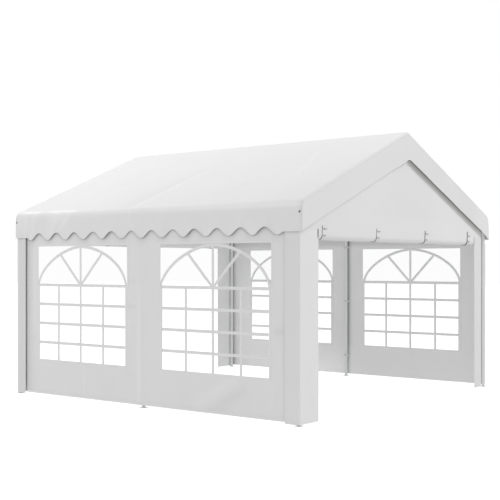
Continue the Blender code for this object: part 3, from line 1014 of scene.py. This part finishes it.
def side_wall(side, sign):
    """A side wall: a grid of points hung by wall_swing, less the quads inside its windows,
    with taped window edges and hems.
    """
    low, high = box_of(f"{side}_wall")
    end = WALL_RETURN_END if sign < 0 else high[1]
    widths = (-ARCH_HALF_WIDTH, -GRID_HALF_WIDTH, GRID_HALF_WIDTH, ARCH_HALF_WIDTH)
    centres = [centre + CUT_SHIFT[sign] for centre in WINDOW_CENTRES.values()]
    y_cuts = [low[1], end, *(centre + width for centre in centres for width in widths)]
    if sign < 0:
        y_cuts += list(WALL_BACK + RETURN_CUTS)
    y_cuts += [*-MIDDLE_CUTS, *MIDDLE_CUTS]
    levels = stations([low[2], WINDOW_LOW, WINDOW_SPRING, WINDOW_HIGH, high[2]], 0.030)
    levels = np.unique(np.concatenate((levels, PAINTED_SHADOW_LEVELS)))
    y, z = np.meshgrid(stations(sorted(y_cuts), 0.016), levels)
    mid_y = (y[:-1, :-1] + y[1:, 1:]) / 2
    mid_z = (z[:-1, :-1] + z[1:, 1:]) / 2
    reach = np.where(mid_z < WINDOW_SPRING, GRID_HALF_WIDTH, ARCH_HALF_WIDTH)
    open_rows = (mid_z > WINDOW_LOW) & (mid_z < WINDOW_HIGH)
    cut = sum(np.abs(mid_y - centre) < reach for centre in centres) * open_rows
    made, marks, lining = used_points(
        patch(on_wall(sign, y, z), together(y, z), cut == 0, flip=sign < 0),
        wall_seams_and_shade(sign, y, z, low[2]),
        wall_inner_painted_light(y, z),
    )
    name, nodes, thick = f"{side}_wall_cloth", [f"{side}_wall"], WALL_CLOTH_THICK
    wall = piece(name, [made], WALL_CLOTH, nodes, [marks], thick, [lining])
    hole = 2 * GRID_HALF_WIDTH * (WINDOW_SPRING - WINDOW_LOW)
    hole += 2 * ARCH_HALF_WIDTH * (WINDOW_HIGH - WINDOW_SPRING)
    wall_hems(side, sign, centres, low, high)
    post_straps(side, sign)
    for bay, centre in WINDOW_CENTRES.items():
        window(side, sign, bay, centre)


def wall_hems(side, sign, centres, low, high):
    """Tape round each window, and the turned-up hem at the wall's foot."""
    out = np.array([sign, 0.0, 0.0])
    made = []
    for centre in centres:
        inner = window_outline(centre, 0.0005)
        outer = dense(inner, window_outline(centre, WINDOW_HEM), 0.04)
        inner = dense(inner, inner, 0.04)
        made += band(on_wall(sign, *inner.T), on_wall(sign, *outer.T), out, HEM_RISE, closed=True)
    y = stations((low[1] + 0.001, high[1] - 0.001), 0.03)
    foot = low[2] + 0.001 + 0 * y
    made += band(on_wall(sign, y, foot), on_wall(sign, y, foot + 0.024), out, HEM_RISE)
    return piece(f"{side}_wall_hems", made, HEM_CLOTH)


def film_face(sign, bay, y, z, off=0.0):
    """Points on a window film's outer face: behind the wall's cloth, with slow ripples."""
    seed = 51 + sign + (3 if bay == "back" else 0)
    behind = WALL_CLOTH_THICK + 0.0010 - off
    x = WALL_OUTER + wall_swing(sign, y, z) - behind + 0.0004 * ripple(y, z, seed, 0.35)
    return together(sign * x, y, z)


def window(side, sign, bay, centre):
    """A clear film behind a window opening, and the bars printed and welded onto it."""
    reach = ARCH_HALF_WIDTH + FILM_MARGIN
    y, z = np.meshgrid(
        stations((centre - reach, centre + reach), 0.045),
        stations((WINDOW_LOW - FILM_MARGIN, WINDOW_HIGH + FILM_MARGIN), 0.045),
    )
    made = patch(film_face(sign, bay, y, z), together(y, z), flip=sign < 0)
    name, nodes = f"{side}_{bay}_window_film", [f"{side}_window_film_{bay}"]
    film = piece(name, [made], FILM, nodes, thick=FILM_THICK)
    window_bars(side, sign, bay, centre)


def window_bars(side, sign, bay, centre):
    """The window's bars: four columns and four rows of panes, and a fan of three spokes under
    a flattened arch. With p = 2 / ARCH_ROUND, or a little more on its back half, the arch's
    point at turn t is the spring's middle plus (reach cos^p t, rise sin^p t), less a little
    sideways at the crown.
    """
    out = np.array([sign, 0.0, 0.0])
    made = []

    def bar(start, end, width, off):
        """A straight bar on the film, between two (y off the window's centre, z) places."""
        start, end = np.array(start), np.array(end)
        share = stations((0.0, 1.0), 0.04 / max(0.04, np.hypot(*(end - start))))
        path = start + share[:, None] * (end - start) + (centre, 0.0)
        return strap(film_face(sign, bay, *path.T, off), out, width, BAR_THICK)

    foot = WINDOW_LOW - BAR_TUCK
    wide = GRID_HALF_WIDTH + BAR_TUCK
    reach = ARCH_HALF_WIDTH + BAR_TUCK
    for z in GRID_ROWS:
        made += bar((-wide, z), (wide, z), BAR_WIDTH, 0.0)
    for y, top in ((-GRID_COLUMN, 0.0), (GRID_COLUMN, 0.0), (0.0, ARCH_RISE)):
        made += bar((y, foot), (y, WINDOW_SPRING + top), BAR_WIDTH, 0.0001)
    made += bar((-reach, WINDOW_SPRING), (reach, WINDOW_SPRING), ARCH_BAR_WIDTH, 0.0002)
    aside, up = math.cos(SPOKE_TURN), math.sin(SPOKE_TURN)
    grip = (aside / ARCH_REACH) ** ARCH_ROUND + (up / ARCH_RISE) ** ARCH_ROUND
    grip **= -1 / ARCH_ROUND
    for lean in (-1, 1):
        tip = (lean * grip * aside, WINDOW_SPRING + grip * up)
        made += bar((0.0, WINDOW_SPRING), tip, BAR_WIDTH, 0.0002)
    turn = np.linspace(0, math.pi, 61)
    lean, rise = np.cos(turn), np.sin(turn).clip(0, 1)
    power = 2 / np.where(lean > 0, ARCH_ROUND - 0.12, ARCH_ROUND)
    y = centre + ARCH_REACH * np.sign(lean) * np.abs(lean) ** power - 0.006 * rise
    z = WINDOW_SPRING + ARCH_RISE * rise**power
    made += strap(film_face(sign, bay, y, z, 0.0003), out, ARCH_BAR_WIDTH, BAR_THICK)
    return piece(f"{side}_{bay}_window_bars", made, BAR_PRINT)


def post_straps(side, sign):
    """Straps that hold a side wall to its middle post, at three heights: flat on the wall,
    then round the inner half of the post.
    """
    inner = WALL_OUTER - WALL_CLOTH_THICK - 0.0022
    radius = TUBE_RADIUS + 0.0006
    turn = np.linspace(math.pi / 2, -math.pi / 2, 17)
    tail_y = np.array([0.050, 0.044, 0.038, 0.032, 0.026, 0.021])
    tail_x = inner - np.array([0.0, 0.0, 0.0002, 0.0016, 0.0060, 0.0140])
    x = np.concatenate((tail_x, POST_X - radius * np.cos(turn), tail_x[::-1]))
    y = np.concatenate((tail_y, radius * np.sin(turn), -tail_y[::-1]))
    made = []
    for height in STRAP_HEIGHTS:
        path = together(sign * x, y, height)
        face = unit(np.cross(np.gradient(path, axis=0), (0.0, 0.0, 1.0)))
        face *= -sign * np.sign(face[len(x) // 2, 0])
        made += strap(path, face, STRAP_WIDTH, STRAP_THICK)
    return piece(f"{side}_middle_post_straps", made, STRAP_WEB)


# Gables


def rafter_height(x):
    """Height of the rafters' centre line: the ridge's, less the fall times |x| / post x."""
    return RIDGE_NODE - (RIDGE_NODE - EAVE_NODE) * np.abs(x) / POST_X


def gable_swing(end, x, z):
    """How far a gable sheet's cloth stands out from its flat place: folds that grow down."""
    folds = 0.0009 * ripple(x, z * 0.25, 61 + end, 0.42, lean=0.8)
    return folds * (0.5 + ramp(z, 2.3, -2.3)) - CLOTH_SET_BACK


def gable_places(wrap_length, right_edge):
    """Stations along a gable sheet, from the wrap's edge round the corner to the right edge,
    finer at the bend, the ties and the door's right edge.
    """
    bend_end = wrap_length + BEND_LENGTH
    exact = [SLOT_LEFT, DOOR_LEFT, ROLL_LEFT, 0.0, ROLL_RIGHT, right_edge]
    exact += [DOOR_RIGHT + step for step in (0.0, 0.006, 0.013, 0.020)]
    ties = sorted({*TIE_PLACES[-1], *TIE_PLACES[1]})
    exact += [tie + side * 0.012 for tie in ties for side in (-2, -1, 0, 1, 2)]
    cuts = [0.0, wrap_length, bend_end, *(bend_end + x - BEND_X for x in sorted(exact))]
    round_bend = np.linspace(wrap_length, bend_end, 6)
    return np.unique(np.concatenate((stations(cuts, 0.026), round_bend)))


def gable_levels(past_bend, x, right_edge, shadow_top):
    """Heights of a gable sheet's points, and how many rows lie up to the slit: even rows to
    the slit, close ones where the valance's painted shadow lies below shadow_top, and a few up
    to the rafter.
    """
    top = np.where(past_bend < 0, FLAP_HIGH[2], rafter_height(np.minimum(x, right_edge)))
    top = np.minimum(top, FLAP_HIGH[2] + np.clip(past_bend, 0, None) * 3)
    low = stations((FLAP_FOOT, SLOT_LOW, SLIT_HIGH), 0.030)[:, None] + 0 * x
    crown = np.clip(shadow_top, SLIT_HIGH, top)
    foot = np.clip(shadow_top - 0.130, SLIT_HIGH, crown)
    share = np.linspace(0, 1, 17)[1:, None]
    rows = (low, SLIT_HIGH + share[::2] * (foot - SLIT_HIGH), foot + share * (crown - foot))
    return np.concatenate((*rows, crown + share[1::2] * (top - crown))), len(low)


def gable_seams_and_painted_light(end, sheet_x, past_bend, x, z, shadow_top, right_edge):
    """Marks of a gable sheet's outer and inner side: darker hems, a painted shadow where the right
    half's valance overhangs the panel, painted shade on the wrap, along its top and behind the
    roll's right end, painted light on the left flap and painted shade on the right one, and a
    soft darker patch high on the panel. Inside, the back sheet has painted light, with painted
    shade at its right edge.
    """
    low = z < SLIT_HIGH
    edges = bell(sheet_x, DOOR_LEFT - 0.020, 0.003) + bell(sheet_x, DOOR_RIGHT + 0.020, 0.003)
    seam_and_shade_marks = 0.08 * bell(z, FLAP_FOOT + 0.022, 0.004) + 0.06 * edges * low
    # Inside the back sheet: painted shade at its right edge, painted light elsewhere
    lining = seam_and_shade_marks + (1.10 * bell(sheet_x, right_edge, 0.026) - 0.22) * (end > 0)
    # Painted shadow of the right half's valance on the panel
    seam_and_shade_marks = seam_and_shade_marks + 0.42 * ramp(shadow_top - z, 0.110, -0.014) * ramp(x, 0.0, 0.04)
    # Painted shade on the wrap, along its top and down its length
    seam_and_shade_marks += 0.30 * ramp(z, 1.779, 0.012) * (past_bend < 0)
    seam_and_shade_marks += (0.035 if end < 0 else 0.115) * ramp(past_bend, -BEND_LENGTH, -0.01)
    # Painted light on the left flap
    seam_and_shade_marks -= 0.20 * ((sheet_x < DOOR_LEFT) & (past_bend > 0) & low)
    # Painted shade behind the roll's right end and on the right flap
    seam_and_shade_marks += 0.60 * bell(sheet_x, DOOR_RIGHT + 0.008, 0.006) * bell(z, 1.775, 0.045)
    seam_and_shade_marks += 0.04 * ((sheet_x > DOOR_RIGHT) & low)
    seam_and_shade_marks += 0.055 * bell(x, 0.1, 0.8) * ramp(z, 1.90, 0.15)
    return seam_and_shade_marks, lining


def gable_sheet(end_name, end, right_edge, wrap):
    """One gable sheet: the panel on the rafters, a flap down each side of the door, and on the
    left the flap's bend round the post and its stretch on the side. The place along the sheet
    runs from the wrap's edge, round a quarter circle, to the right flap's edge. Gives the row
    of points that the door sheet hangs from.
    """
    outer_x, outer_y = -FLAP_LOW[:2]
    wrap_length = outer_y - FLAP_BEND - wrap
    place = gable_places(wrap_length, right_edge)
    turn = np.clip((place - wrap_length) / FLAP_BEND, 0, math.pi / 2)
    past_bend = place - (wrap_length + BEND_LENGTH)
    x = -outer_x + FLAP_BEND * (1 - np.cos(turn)) + np.clip(past_bend, 0, None)
    y = wrap + np.minimum(place, wrap_length) + FLAP_BEND * np.sin(turn)
    shadow_top = rake_edge(x) + SHADOW_RISE
    z, low_rows = gable_levels(past_bend, x, right_edge, shadow_top)
    swing = gable_swing(end, x + y, z) * np.clip(np.abs(past_bend + 0.008) / 0.06, 0.25, 1)
    swing += 0.0020 * bell(place, 0.0, 0.020)
    points = together(x - swing * np.cos(turn), end * (y + swing * np.sin(turn)), z)
    sheet_x = past_bend + BEND_X
    mid_x = (sheet_x[1:] + sheet_x[:-1]) / 2
    mid_z = (z[1:, 1:] + z[:-1, :-1]) / 2
    left = np.where(mid_z > SLOT_LOW, SLOT_LEFT, DOOR_LEFT)
    door = (mid_x > left) & (mid_x < DOOR_RIGHT) & (mid_z < SLIT_HIGH)
    made, marks, lining = used_points(
        patch(points, together(place, z), ~door, flip=end > 0),
        *gable_seams_and_painted_light(end, sheet_x, past_bend, x, z, shadow_top, right_edge),
    )
    name, thick = f"{end_name}_gable_cloth", WALL_CLOTH_THICK
    nodes = [f"{end_name}_{part}" for part in ("gable_panel", "left_flap", "right_flap")]
    sheet = piece(name, [made], WALL_CLOTH, nodes, [marks], thick, [lining])
    total = float(place[-1])
    panel = (right_edge + outer_x) * (RIDGE_NODE - EAVE_NODE) / 2 * PANEL_OVER
    panel += total * (FLAP_HIGH[2] - SLIT_HIGH)
    hangs = (sheet_x > ROLL_LEFT - 1e-6) & (sheet_x < ROLL_RIGHT + 1e-6)
    return points[low_rows - 1][hangs]


def roll_point(angle, front_y, size, off=0.0):
    """y and z on the roll's outline, size times and off outside it: a superellipse, whose
    reach is (|cos|^n + |sin|^n)^(-1/n) of the angle, behind the panel's face at front_y.
    """
    power = np.abs(np.cos(angle)) ** ROLL_ROUND + np.abs(np.sin(angle)) ** ROLL_ROUND
    size = size * power ** (-1 / ROLL_ROUND)
    y = front_y - ROLL_HALF_DEPTH - CLOTH_SET_BACK + (ROLL_HALF_DEPTH * size + off) * np.cos(angle)
    return y, ROLL_MIDDLE_Z + (ROLL_HALF_HEIGHT * size + off) * np.sin(angle)


def door_roll(end_name, end, head):
    """The door sheet, hung from the panel's lower edge, rolled up inwards and tied. At turn t
    down the front, round the bottom and on inwards, a point is on the roll's outline times a
    share that falls evenly with each turn. head is the panel's row of points that it carries
    on from.
    """
    turn = np.linspace(0, ROLL_TURNS * math.tau, int(ROLL_TURNS * 24) + 1)
    share = 1 - (1 - ROLL_CORE) * np.clip(turn - math.pi, 0, None) / (ROLL_TURNS * math.tau)
    x = head[:, :1]
    pinch = sum(bell(x, tie, 0.022) for tie in TIE_PLACES[end])
    slack = 1 - np.clip(sum(bell(x, tie, 0.25) for tie in TIE_PLACES[end]), 0, 1)
    loose = 0.016 * ripple(x, 0.05 * turn + 0 * x, 71 + end, 0.34) * np.clip(turn / 2, 0, 1)
    size = share * (1 - 0.04 * pinch) * (1 + loose)
    y, z = roll_point(ROLL_START - turn, end * head[:, 1].mean(), size)
    z = z - 0.002 * slack
    fall = np.linspace(0, 1, 6)[:-1]
    ease = smooth(fall)
    y = np.concatenate((end * head[:, 1:2] * (1 - ease) + y[:, :1] * ease, y), axis=1)
    z = np.concatenate((SLIT_HIGH * (1 - fall) + z[:, :1] * fall, z), axis=1)
    points = together(x, end * y, z)
    points[:, 0] = head
    along = lengths(together(y[0], z[0]))
    made = patch(points, together(x, SLIT_HIGH - along), flip=end < 0)
    # Painted shade on the roll's underside, darker towards its bottom
    shade = [0.30 * ramp(z, 1.780, -0.060) ** 1.5]
    name, nodes = f"{end_name}_door_roll_cloth", [f"{end_name}_door_roll"]
    roll = piece(name, [made], WALL_CLOTH, nodes, shade, WALL_CLOTH_THICK)
    door_ties(end_name, end)
    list(tie_toggles(end_name, end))


def door_ties(end_name, end):
    """A black strap round the door roll at each tie's place: down the front from the panel,
    round under the roll and up behind it, following the roll's outline.
    """
    front_y = -FLAP_LOW[1] - CLOTH_SET_BACK
    y, z = roll_point(ROLL_START - np.linspace(0, math.radians(262), 40), front_y, 0.970, 0.0006)
    fall = np.linspace(0, 1, 10)[:-1]
    lead_y = front_y + 0.0008 + (y[0] - front_y - 0.0008) * fall**2
    made = []
    for place, size, head in zip(TIE_PLACES[end], TIE_SIZES, TIE_HEADS):
        run_y = np.concatenate((lead_y, y))
        run_z = np.concatenate((head + (z[0] - head) * fall, z))
        path = together(place, end * run_y, run_z)
        face = unit(np.cross(np.gradient(path, axis=0), (1.0, 0.0, 0.0)))
        face *= end * np.sign(face[4, 1])
        girth = size * (1 + 0.6 * bell(run_z, z.min(), 0.03))
        made += strap(path, face, TIE_WIDTH, TIE_THICK, size=girth)
    return piece(f"{end_name}_door_ties", made, TIE_WEB)


def tie_toggles(end_name, end):
    """Two moulded toggles beside each tie, each on a thin loop from the strap. A toggle is a
    bar with rounded ends, a little waisted; its loop runs as (cos^0.5, sin) of half a turn.
    """
    toggles, loops = [], []
    share = np.linspace(0, 1, 15)
    girth = np.sqrt(np.clip(1 - np.abs(2 * share - 1) ** 5, 0.04, 1))
    girth = girth * (1 - 0.28 * bell(share, 0.5, 0.12))
    turn = np.linspace(-0.5, 0.5, 15) * math.pi
    bow, swing = np.clip(np.cos(turn), 0, 1) ** 0.5, np.sin(turn)
    out = np.array([0.0, end, 0.0])
    for place in TIE_PLACES[end]:
        for height, length, off in TOGGLES:
            face = end * (-FLAP_LOW[1] + off)
            path = together(place + 0.031 + length * share, face, height)
            toggles += carried(circle(0.0036, 12), path, out, (0.0, 0.0, 1.0), size=girth)
            x = place + 0.002 + (0.029 + length / 2) * bow
            path = together(x, face, height + 0.0042 * swing)
            up = unit(np.cross(out, np.gradient(path, axis=0)))
            loops += carried(circle(0.0009, 8), path, out, up)
    return (
        piece(f"{end_name}_tie_toggles", toggles, TOGGLE),
        piece(f"{end_name}_toggle_loops", loops, TIE_WEB),
    )


# Small parts and the frame


def valance_face(sign, y, z):
    """x of the cover's outer face on a side valance at one place."""
    points = cover_rows(np.array([y - 0.001, y + 0.001]))[0]
    side = points[1, :HANG_COLUMNS] if sign < 0 else points[1, : -HANG_COLUMNS - 1 : -1]
    return float(np.interp(z, side[:, 2], side[:, 0]))


def corner_eyelets():
    """A pressed eyelet near each upright seam of the cover: a flat ring round a black disc of
    painted shade for its hole.
    """
    rings, hole_shades = [], []
    turn = np.arange(24) * math.tau / 24
    spoke = together(0.0, np.cos(turn), np.sin(turn))
    section = circle(1.0, 10) * (0.0030, 0.0012)
    for sign in (-1, 1):
        for y in (-EYELET_Y, EYELET_Y):
            out = np.array([sign, 0.0, 0.0])
            middle = np.array([valance_face(sign, y, EYELET_Z), y, EYELET_Z]) + out * EYELET_STAND
            rings += carried(section, middle + spoke * EYELET_RING, spoke, out, closed=True)
            hole_shades.append(lid(middle + spoke * EYELET_OPENING, out))
    piece("corner_eyelet_rings", rings, EYELET)
    piece("corner_eyelet_hole_shades", hole_shades, EYELET_HOLE_SHADE)


def finish_steel():
    """The frame's own nodes keep their shapes and take the powder coat."""
    for name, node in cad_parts.items():
        if name.startswith(("post_", "eave_", "ridge_", "rafter_")):
            for slot in node.material_slots:
                slot.material = STEEL


# Studio


def studio():
    """A white surround that lights less than it shows, a pale floor that the camera sees as
    white, and soft lights above and at the back left.
    """
    white = (1.0, 1.0, 1.0, 1.0)
    world = bpy.data.worlds.new("white_surround")
    bpy.context.scene.world = world
    world.use_nodes = True
    tree = world.node_tree
    tree.nodes.clear()
    glow, seen = (
        shader_node(tree, "Background", "Background", {"Color": white, "Strength": strength})
        for strength in (SURROUND_LIGHT, 1.0)
    )
    from_camera = shader_node(tree, "LightPath", "Is Camera Ray", {})
    mixed = shader_node(tree, "MixShader", "Shader", {"Fac": from_camera, 1: glow, 2: seen})
    shader_node(tree, "OutputWorld", None, {"Surface": mixed})
    mesh = bpy.data.meshes.new("studio_floor")
    corners = ((-1, -1), (1, -1), (1, 1), (-1, 1))
    mesh.from_pydata([(FLOOR_REACH * x, FLOOR_REACH * y, 0.0) for x, y in corners], [], [range(4)])
    pale = Finish("pale_floor", (0.35, 0.35, 0.35), 0.9)
    pale.set("Emission Color", white)
    from_camera = pale.node("LightPath", "Is Camera Ray", {})
    inputs = {"Value": from_camera, "To Min": 0.585, "To Max": 0.95}
    pale.set("Emission Strength", pale.node("MapRange", "Result", inputs))
    mesh.materials.append(pale.material)
    placed("studio_floor", mesh)
    soft_light("front_light", (2.0, -7.0, 9.0), (0.0, -1.0, 1.5), 3.0, 240.0)
    soft_light("top_light", (0.0, 0.0, 9.0), (0.0, 0.0, 1.5), 8.0, 71.0)
    soft_light("back_light", (-3.0, 5.0, 7.5), (0.0, 0.5, 1.5), 6.0, 218.0)


def soft_light(name, place, aim, size, power):
    """A square area light at place, facing aim."""
    data = bpy.data.lights.new(name, "AREA")
    data.shape = "SQUARE"
    data.size = size
    data.energy = power
    light = placed(name, data)
    x, y, z = np.array(place) - np.array(aim)
    light.location = place
    light.rotation_euler = (math.atan2(math.hypot(x, y), z), 0.0, math.atan2(y, x) + math.pi / 2)


def camera():
    """The photo's viewpoint: level, with the horizon below the picture's middle."""
    data = bpy.data.cameras.new("photo_camera")
    data.sensor_width = SENSOR
    data.lens = FOCAL_PIXELS / PHOTO_PIXELS * SENSOR
    data.shift_y = (HORIZON_PIXEL - PHOTO_PIXELS / 2) / PHOTO_PIXELS
    data.clip_end = 200.0
    made = placed("photo_camera", data)
    made.location = EYE
    made.rotation_euler = (math.pi / 2, 0.0, LOOK_TURN - math.pi / 2)
    bpy.context.scene.camera = made
    bpy.context.scene.view_settings.view_transform = "Standard"


camera()
studio()
finish_steel()
roof_cover()
side_wall("left", -1)
side_wall("right", 1)
for END_NAME, (END, RIGHT_EDGE, WRAP) in GABLES.items():
    HEAD = gable_sheet(END_NAME, END, RIGHT_EDGE, WRAP)
    door_roll(END_NAME, END, HEAD)
corner_eyelets()
